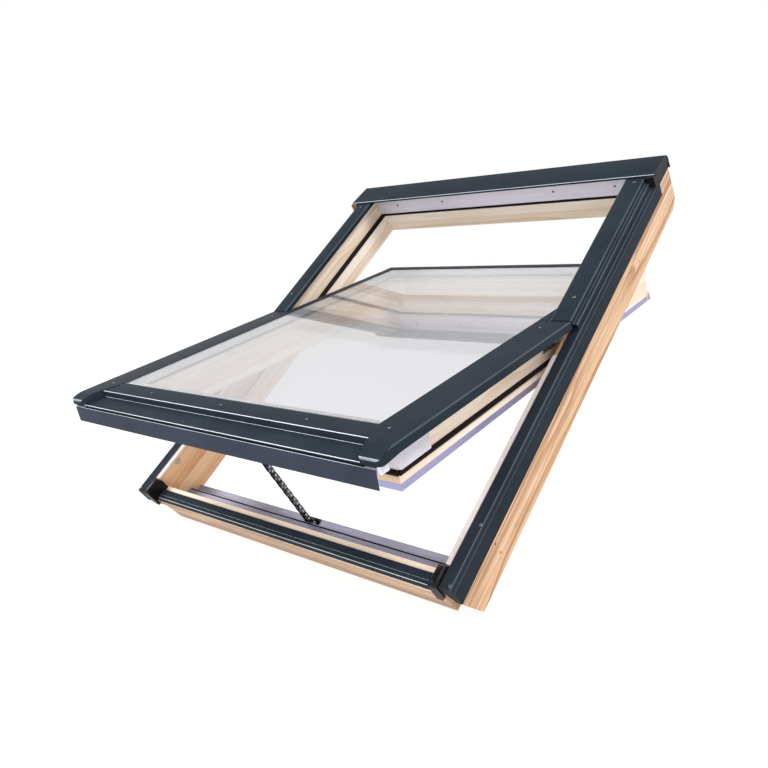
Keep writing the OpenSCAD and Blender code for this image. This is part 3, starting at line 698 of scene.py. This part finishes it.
def joined_faces() -> Tree:
    """Joins a node's faces and smooths the edges between them, up to a sharp turn.

    Returns:
        The node group that does so, made on first use.
    """
    found = bpy.data.node_groups.get("joined_faces")
    if found:
        return found
    tree = bpy.data.node_groups.new("joined_faces", "GeometryNodeTree")
    for way in ("INPUT", "OUTPUT"):
        tree.interface.new_socket("Geometry", in_out=way, socket_type="NodeSocketGeometry")
    start = add_node(tree, "NodeGroupInput").outputs[0]
    joined = add_node(tree, "GeometryNodeMergeByDistance", {"Distance": 0.01 * MM}, {"Geometry": start})
    turn = add_node(tree, "GeometryNodeInputMeshEdgeAngle").outputs["Unsigned Angle"]
    sharp = add_node(tree, "FunctionNodeCompare", {"operation": "GREATER_THAN", 1: SHARP_TURN}, {0: turn})
    links = {"Mesh": joined.outputs["Geometry"], "Edge Sharpness": sharp.outputs["Result"]}
    settings = {"mode": "SHARPNESS", "Remove Custom": True, "Face Sharpness": False}
    smooth = add_node(tree, "GeometryNodeSetMeshNormal", settings, links)
    add_node(tree, "NodeGroupOutput", links={0: smooth.outputs[0]})
    return tree


def add_piece(name: str, mesh: bpy.types.Mesh, finish: Finish, body: str) -> bpy.types.Object:
    """Adds a piece in its finish, riding on a body.

    Args:
        name: The piece's name.
        mesh: Its mesh, in the part's frame.
        finish: Its finish.
        body: The body that it moves with.

    Returns:
        The piece.
    """
    piece = bpy.data.objects.new(name, mesh)
    bpy.context.scene.collection.objects.link(piece)
    mesh.materials.append(finish.material())
    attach(piece, body)
    LOG.info("piece %s: %d faces, %s", name, len(mesh.polygons), finish.name)
    return piece


@dataclass
class Timbers:
    """The frame's and the sash's timbers."""

    window: Window
    frame_colour: str = "#e6c8a8"
    frame_fibre: str = "#c9b39d"
    frame_late: str = "#b78a62"
    inner_colour: str = "#f9eee2"
    inner_late: str = "#ecd9c3"
    # painted shade on the jambs' inner faces towards their lower end, where the sash shades them
    lining_weathered: str = "#e2c3a4"
    gloss: float = 0.42
    left_knot: Knot = (-358.0, -400.6, -12.0, 9.0)
    ease: float = 0.7  # round on the planed edges, mm
    facing_share: float = 0.5  # least cosine between a side and a face that belongs to it

    def pine(self, name: str, grain: Grain, tilt: float, inner: bool, **more: Any) -> LacqueredPine:
        """Pine for one timber.

        Args:
            name: The finish's name.
            grain: Which way the fibres run.
            tilt: The slope of the timber's plane in radians.
            inner: True for pale pine inside, False for warm pine outside.
            more: Other values of the finish.

        Returns:
            The finish.
        """
        if inner:
            return LacqueredPine(name, self.inner_colour, self.gloss, self.inner_late, tilt, grain, **more)
        more["fibre"] = self.frame_fibre
        return LacqueredPine(name, self.frame_colour, self.gloss, self.frame_late, tilt, grain, **more)

    def dress(self) -> None:
        """Lays the grain along each timber."""
        pitch, sash_pitch = self.window.pitch, self.window.sash_pitch
        knots = (self.left_knot,)
        jamb = self.pine("lacquered_pine_jamb", Grain.UP, pitch, False)
        left = self.pine("lacquered_pine_jamb_knotted", Grain.UP, pitch, False, knots=knots)
        cross = self.pine("lacquered_pine_cross", Grain.ACROSS, pitch, True)
        stile = self.pine("lacquered_pine_stile", Grain.UP, sash_pitch, True)
        rail = self.pine("lacquered_pine_rail", Grain.ACROSS, sash_pitch, True)
        self.window.coat(jamb, "frame_right_jamb")
        self.window.coat(left, "frame_left_jamb")
        # the lining's lower end gets painted shade for the sash's shadow
        lining_shade = self.lining_weathered
        lining = self.pine("lacquered_pine_lining", Grain.UP, pitch, True, weathered=lining_shade, knots=knots)
        self.line("frame_right_jamb", lining, Vector((-1.0, 0.0, 0.0)))
        self.line("frame_left_jamb", lining, Vector((1.0, 0.0, 0.0)))
        self.window.coat(cross, "frame_head", "frame_sill")
        front = self.pine("lacquered_pine_sill_front", Grain.ACROSS, pitch, False)
        self.line("frame_sill", front, Vector((0.0, -math.cos(pitch), -math.sin(pitch))))
        self.window.coat(stile, "sash_left_stile", "sash_right_stile")
        self.window.coat(rail, "sash_top_rail", "sash_bottom_rail")
        frame = ("frame_left_jamb", "frame_right_jamb", "frame_head", "frame_sill")
        sash = ("sash_left_stile", "sash_right_stile", "sash_top_rail", "sash_bottom_rail")
        self.window.soften(*frame, *sash, ease=self.ease)

    def line(self, name: str, lining: LacqueredPine, facing: Vector) -> None:
        """Gives the faces of one side of a timber a pine of their own.

        Args:
            name: The timber's node, which has its own finish already.
            lining: The pine for that side.
            facing: Which way the side faces.
        """
        mesh = self.window.nodes[name].data
        mesh.materials.append(lining.material())
        for face in mesh.polygons:
            if face.normal.dot(facing) > self.facing_share:
                face.material_index = 1


@dataclass
class Cladding:
    """The folded covers outside, and the profiles that line the frame and the sash."""

    window: Window
    narrow: float = 1.7  # a bend's facets and a cut edge are narrower, mm
    least_length: float = 12.0  # and longer
    across_share: float = 0.9  # least cosine between the roof's width and a fold across the roof
    highlight_lean: tuple[float, float] = (45.0, 82.0)  # how far a face that takes the painted highlight leans from the vertical, degrees
    drip_highlight_lean: tuple[float, float] = (0.0, 82.0)

    def dress(self) -> None:
        """Coats the covers and the profiles, and paints highlights on the covers' bends and cut edges."""
        coat = PowderCoat("powder_coated_sheet", "#20272e", 0.42, "#282f37", specular=0.025)
        drip = PowderCoat("powder_coated_drip", "#2e333f", 0.44, "#363c49", specular=0.04)
        rail = DrawnAluminium("coated_head_rail", "#d8d5e4", 0.4, "#e6e3ef", metallic=0.15)
        strip = DrawnAluminium("coated_jamb_strip", "#c3b8b5", 0.4, "#d0c7c4", metallic=0.05)
        sill = DrawnAluminium("satin_coated_aluminium", "#7c7a8c", 0.4, "#9391a3", metallic=0.3)
        edging = DrawnAluminium("anodised_sash_edging", "#9392b8", 0.34, "#abaacd")
        frame_sheets = ("jamb_cover_left", "jamb_cover_right", "upper_cover_left", "upper_cover_right")
        sash_sheets = ("sash_cover_left", "sash_cover_right", "sash_bottom_cover", "sash_top_trim")
        other_sheets = ("head_hood", "sill_cover", "sash_bead_left", "sash_bead_right")
        sheets = (*frame_sheets, *sash_sheets, *other_sheets)
        self.window.coat(coat, *sheets)
        self.window.coat(drip, "drip_plate")
        # painted highlights: paler, glossier coats on the crests of folds across the roof and on the noses'
        # fronts, where the lamps would catch them
        fold_highlight = PowderCoat("painted_highlight_cross_folds", "#b4bcc6", 0.3, "#ccd3da", specular=0.5)
        nose_highlight = PowderCoat("painted_highlight_noses", "#6f7882", 0.32, "#858e97", specular=0.4)
        noses = ("sash_cover_left", "sash_cover_right")
        for name in sheets:
            self.paint_fold_highlights(name, nose_highlight if name in noses else fold_highlight, self.highlight_lean)
        self.paint_fold_highlights("drip_plate", fold_highlight, self.drip_highlight_lean)
        self.window.soften(*sheets)
        self.window.coat(rail, "head_rail")
        self.window.coat(strip, "jamb_strip_left", "jamb_strip_right")
        self.window.coat(sill, "sill_profile")
        self.window.coat(edging, "sash_inner_trim")

    def paint_fold_highlights(self, name: str, fold_highlight: PowderCoat, tilts: tuple[float, float]) -> None:
        """Paints highlights on a sheet's bends and cut edges: a faint one on those along the roof, and the
        palest on faces of those across the roof that lean within the given angles.

        Args:
            name: The sheet's node, which has its own finish already.
            fold_highlight: The painted highlight on the crest of a fold across the roof.
            tilts: Between which angles from the vertical a face takes that painted highlight, in degrees.
        """
        mesh = self.window.nodes[name].data
        # a faint painted highlight on the bends and cut edges along the roof
        along = PowderCoat("painted_highlight_long_folds", "#323a43", 0.36, "#3d464f", specular=0.2)
        mesh.materials.append(fold_highlight.material())
        mesh.materials.append(along.material())
        for face in mesh.polygons:
            corners = [mesh.vertices[i].co for i in face.vertices]
            sides = [b - a for a, b in zip(corners, corners[1:] + corners[:1])]
            longest = max(sides, key=lambda side: side.length)
            if longest.length < self.least_length * MM or 2 * face.area > longest.length * self.narrow * MM:
                continue
            lean = math.degrees(math.acos(max(-1.0, min(1.0, face.normal.z))))
            if abs(longest.normalized().x) < self.across_share:
                face.material_index = 2
            elif tilts[0] <= lean <= tilts[1]:
                face.material_index = 1


@dataclass
class Glazing:
    """The sealed pair of panes."""

    window: Window

    def dress(self) -> None:
        """Gives the panes, their spacer and their tape a finish."""
        glass = FloatGlass("float_glass", "#efeff1", 0.0)
        spacer = DrawnAluminium("rolled_spacer_bar", "#b9babd", 0.4, "#cfd0d2", metallic=1.0)
        self.window.coat(glass, "outer_pane", "inner_pane")
        self.window.coat(spacer, "glass_spacer")
        self.window.coat(SEAL_RUBBER, "glazing_tape")


@dataclass
class Fittings:
    """Seals, caps, corner blocks, pivots, screws, the drive's housing, and a dark strip on the sill profile
    that paints the shade between its tiers.
    """

    window: Window
    shade_strip_half: float = 345.0
    shade_strip_up: tuple[float, float] = (-427.0, -424.8)  # from and to, up the slope, mm
    shade_strip_out: tuple[float, float] = (-72.5, -71.9)  # and out of the roof

    def build(self) -> None:
        """Lays a dark strip on the sill profile, painted shade along the step between its tiers."""
        shape = bmesh.new()
        middle = [0.0, sum(self.shade_strip_up) / 2 * MM, sum(self.shade_strip_out) / 2 * MM]
        size = [2 * self.shade_strip_half, self.shade_strip_up[1] - self.shade_strip_up[0], self.shade_strip_out[1] - self.shade_strip_out[0]]
        slope = Matrix.Rotation(self.window.pitch, 4, "X")
        place = slope @ Matrix.Translation(middle) @ Matrix.Diagonal((*(s * MM for s in size), 1.0))
        bmesh.ops.create_cube(shape, size=1.0, matrix=place)
        mesh = bpy.data.meshes.new("sill_painted_shade_strip")
        shape.to_mesh(mesh)
        shape.free()
        # the dark strip is painted shade along the step between the sill profile's tiers
        add_piece("sill_painted_shade_strip", mesh, SEAL_RUBBER, "frame")

    def dress(self) -> None:
        """Gives each fitting its finish."""
        corner = Moulded("moulded_corner_rubber", "#0b0a0c", 0.3, "#131214", depth=0.02, specular=0.16)
        cap = Moulded("moulded_cap_plastic", "#0e0d0f", 0.45, "#171518", specular=0.15)
        brown = Moulded("moulded_brown_cap_plastic", "#57402f", 0.45, "#6b5040")
        block = Moulded("moulded_block_plastic", "#c6c3cd", 0.4, "#d4d1da", glow=0.25)
        self.window.coat(SEAL_RUBBER, "frame_seal", "sash_seal")
        self.window.coat(corner, "sill_corner_left", "sill_corner_right")
        self.window.coat(brown, "hood_cap_left")
        self.window.coat(cap, "hood_cap_right", "chain_drive")
        self.window.coat(block, "corner_block_left", "corner_block_right")
        self.window.coat(ZINC_STEEL, "frame_pivot_left", "frame_pivot_right", "friction_discs", "chain_pin")
        self.window.coat(ZINC_STEEL, "sash_pivot_left", "sash_pivot_right", "drive_plate")
        self.window.coat(BLACK_STEEL, "chain_bracket")
        self.window.coat(SCREW_STEEL, "frame_cover_screws", "frame_pivot_screws", "head_screws")
        self.window.coat(SCREW_STEEL, "sash_cover_screws", "sash_pivot_screws")
        self.window.soften("sill_corner_left", "sill_corner_right", "frame_seal", "sash_seal")


@dataclass
class PushChain:
    """The opener's chain, link by link, from the sill bracket to the mouth of the drive in the sash.

    Its sizes are in millimetres.
    """

    window: Window
    mouth: tuple[float, float] = (-421.14, -62.0)  # up the sash and out of it
    most_pitch: float = 11.5
    plate_h: float = 8.4
    plate_t: float = 1.2
    plate_ease: float = 0.2  # chamfer on a plate's edges
    inner_half: float = 2.5  # half of the width between the inner plates
    play: float = 0.3
    pin_r: float = 2.0
    pin_head: float = 0.6  # how far a pin stands out
    bush_r: float = 3.0
    rim: float = 0.25  # chamfer on a pin's or a bush's ends
    closed_length: float = 18.8  # what shows of the chain when the sash is shut
    arc_steps: int = 10
    pin_steps: int = 20

    def build(self) -> None:
        """Builds the inner and the outer links as two pieces that stand for the chain's nodes."""
        turn = Matrix.Rotation(self.window.sash_pitch, 4, "X")
        reach = turn @ Vector((0.0, self.mouth[0] * MM, self.mouth[1] * MM)) - self.window.chain_foot
        count = math.ceil(reach.length / (self.most_pitch * MM))
        step = reach.length / count
        rise = Matrix.Rotation(math.atan2(reach.z, reach.y), 4, "X")
        place = Matrix.Translation(self.window.chain_foot) @ rise
        half_outer = self.inner_half + self.plate_t + self.play
        for name, first, half, node, finish in (
            ("inner_links", 0, self.inner_half, "chain_inner_links", BLACK_STEEL),
            ("outer_links", 1, half_outer, "chain_outer_links", SCREW_STEEL),
        ):
            shape = bmesh.new()
            for link in range(first, count, 2):
                at = place @ Matrix.Translation((0.0, link * step, 0.0))
                self.add_link(shape, at, step, half, outer=first == 1)
            mesh = bpy.data.meshes.new(name)
            shape.to_mesh(mesh)
            shape.free()
            piece = add_piece(name, mesh, finish, "chain")
            mesh.materials.append(ZINC_STEEL.material())
            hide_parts(node)
            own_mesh(piece)

    def add_link(self, shape: Shape, place: Matrix, step: float, half: float, outer: bool) -> None:
        """Adds one link: two plates, and the pins or bushes that join them.

        Args:
            shape: The mesh that takes the link.
            place: Where the link's first pin is.
            step: Distance between its pins, in metres.
            half: Half of the width between its plates, in millimetres.
            outer: True for a link with pins, False for one with bushes.
        """
        for low in (-half - self.plate_t, half):
            self.add_plate(shape, place, step, low * MM)
        for at in (0.0, step):
            spot = place @ Matrix.Translation((0.0, at, 0.0)) @ Matrix.Rotation(math.pi / 2, 4, "Y")
            if outer:
                end, radius = half + self.plate_t + self.pin_head, self.pin_r
            else:
                end, radius = half, self.bush_r
            small, short = radius - self.rim, end - self.rim
            outline = [(small, -end), (radius, -short), (radius, short), (small, end)]
            for face in add_turned(shape, outline, spot, self.pin_steps):
                face.material_index = 1

    def add_plate(self, shape: Shape, place: Matrix, step: float, low: float) -> None:
        """Adds one plate with round ends and eased edges.

        Args:
            shape: The mesh that takes the plate.
            place: Where the link's first pin is.
            step: Distance between its pins.
            low: Where the plate's near face is across the chain.
        """
        ease, thick = self.plate_ease * MM, self.plate_t * MM
        layers = ((0.0, ease), (ease, 0.0), (thick - ease, 0.0), (thick, ease))
        rows = []
        for out, shrink in layers:
            radius = self.plate_h / 2 * MM - shrink
            row = []
            for i in range(2 * self.arc_steps + 2):
                far = i <= self.arc_steps
                turn = math.pi / 2 - math.pi * (i if far else i - 1) / self.arc_steps
                middle = step if far else 0.0
                point = Vector((low + out, middle + radius * math.cos(turn), radius * math.sin(turn)))
                row.append(shape.verts.new(place @ point))
            rows.append(row)
        close_rows(shape, rows)


def close_rows(shape: Shape, rows: Sequence[Sequence[bmesh.types.BMVert]]) -> list[bmesh.types.BMFace]:
    """Joins rows of points into a closed solid with flat ends.

    Args:
        shape: The mesh that holds the points.
        rows: Closed rows with the same number of points each.

    Returns:
        The solid's faces.
    """
    count = len(rows[0])
    faces = [
        shape.faces.new((low[i], low[(i + 1) % count], high[(i + 1) % count], high[i]))
        for low, high in zip(rows, rows[1:])
        for i in range(count)
    ]
    faces.append(shape.faces.new(tuple(reversed(rows[0]))))
    faces.append(shape.faces.new(tuple(rows[-1])))
    bmesh.ops.recalc_face_normals(shape, faces=faces)
    return faces


def add_turned(
    shape: Shape, outline: Iterable[tuple[float, float]], place: Matrix, steps: int
) -> list[bmesh.types.BMFace]:
    """Adds a turned piece.

    Args:
        shape: The mesh that takes it.
        outline: Radius and height of each corner, in millimetres.
        place: Where its axis is, along its own Z.
        steps: Sides of the turned form.

    Returns:
        The piece's faces.
    """
    rows = []
    for radius, height in outline:
        turns = [2 * math.pi * i / steps for i in range(steps)]
        spots = [Vector((radius * math.cos(a), radius * math.sin(a), height)) * MM for a in turns]
        rows.append([shape.verts.new(place @ spot) for spot in spots])
    return close_rows(shape, rows)


@dataclass
class Studio:
    """Pale floor, soft lamps, white surroundings and the camera."""

    camera_at: Point = (0.9348, -1.1544, 0.0873)
    camera_looks: Point = (-0.6397, 0.7568, -0.1343)
    lens: float = 34.45  # mm
    sensor: float = 36.0
    floor_size: float = 14.0  # m
    floor_colour: str = "#efefef"
    floor_white: float = 0.7  # share of plain white in the floor; the rest takes the shadow
    floor_lift: float = 1.23  # strength of that white to the camera, which makes up for the rest
    sky: float = 0.55  # how much the surroundings light the window
    lamps: tuple[tuple[str, Point, float, float], ...] = (  # name, place, side in m, power in W
        ("left_front_lamp", (-1.9, -1.7, 1.7), 1.3, 62.0),
        ("right_top_lamp", (1.9, -0.4, 2.3), 1.3, 60.0),
        ("right_side_lamp", (2.6, -1.4, 0.4), 1.6, 14.0),
        ("low_front_lamp", (0.6, -2.3, 0.05), 0.8, 16.0),
    )

    def build(self) -> None:
        """Sets the stage."""
        self.add_camera()
        self.add_floor()
        self.add_surroundings()
        for lamp in self.lamps:
            self.add_lamp(*lamp)
        bpy.context.scene.view_settings.view_transform = "Standard"

    def add_camera(self) -> None:
        """Adds the camera at the photograph's viewing angle."""
        data = bpy.data.cameras.new("camera")
        data.sensor_width = self.sensor
        data.lens = self.lens
        camera = bpy.data.objects.new("camera", data)
        camera.location = self.camera_at
        camera.rotation_euler = Vector(self.camera_looks).to_track_quat("-Z", "Y").to_euler()
        bpy.context.scene.collection.objects.link(camera)
        bpy.context.scene.camera = camera

    def add_floor(self) -> None:
        """Adds a pale floor under the lowest point, which shows white and keeps a soft shadow."""
        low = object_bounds()[0][2]
        half = self.floor_size / 2
        corners = [(-half, -half, low), (half, -half, low), (half, half, low), (-half, half, low)]
        mesh = bpy.data.meshes.new("floor")
        mesh.from_pydata(corners, [], [(0, 1, 2, 3)])
        floor = bpy.data.objects.new("floor", mesh)
        bpy.context.scene.collection.objects.link(floor)
        paper = bpy.data.materials.new("white_paper_floor")
        paper.use_nodes = True
        tree = paper.node_tree
        matt = tree.nodes["Principled BSDF"]
        matt.inputs["Base Color"].default_value = linear(self.floor_colour)
        matt.inputs["Roughness"].default_value = 0.9
        limits = {"To Min": 1.0, "To Max": self.floor_lift}
        level = add_node(tree, "MapRange", limits, {"Value": any_ray(tree, "Camera")}).outputs["Result"]
        glow = add_node(tree, "Emission", {"Color": linear("#ffffff")}, {"Strength": level})
        share = add_node(tree, "Math", {"operation": "MULTIPLY", 1: self.floor_white}, {0: self.seen(tree)})
        parts = {0: share.outputs[0], 1: matt.outputs[0], 2: glow.outputs[0]}
        mixed = add_node(tree, "MixShader", links=parts)
        tree.links.new(mixed.outputs[0], tree.nodes["Material Output"].inputs["Surface"])
        mesh.materials.append(paper)
        floor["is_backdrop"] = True

    def add_surroundings(self) -> None:
        """Adds surroundings that show white and light the window evenly."""
        world = bpy.data.worlds.new("white_room")
        bpy.context.scene.world = world
        world.use_nodes = True
        tree = world.node_tree
        limits = {"To Min": self.sky, "To Max": 1.0}
        strength = add_node(tree, "MapRange", limits, {"Value": self.seen(tree)}).outputs["Result"]
        background = tree.nodes["Background"]
        background.inputs["Color"].default_value = linear("#ffffff")
        tree.links.new(strength, background.inputs["Strength"])

    def seen(self, tree: Tree) -> Socket:
        """1 for what the camera, a mirror or a pane shows, and 0 for light on the window."""
        return any_ray(tree, "Camera", "Glossy", "Transmission")

    def add_lamp(self, name: str, at: Point, size: float, power: float) -> None:
        """Adds a soft square lamp that faces the window.

        Args:
            name: The lamp's name.
            at: Where it stands.
            size: Its side in metres.
            power: Its power in watts.
        """
        data = bpy.data.lights.new(name, "AREA")
        data.size = size
        data.energy = power
        lamp = bpy.data.objects.new(name, data)
        lamp.location = at
        lamp.rotation_euler = (-Vector(at)).to_track_quat("-Z", "Y").to_euler()
        bpy.context.scene.collection.objects.link(lamp)


def main() -> None:
    """Builds the window's looks in order."""
    logging.basicConfig(level=logging.INFO, format="%(name)s: %(message)s")
    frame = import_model()
    window = Window.packed(frame)
    Studio().build()
    Timbers(window).dress()
    Cladding(window).dress()
    Glazing(window).dress()
    fittings = Fittings(window)
    fittings.build()
    fittings.dress()
    PushChain(window).build()


if __name__ == "__main__":
    main()
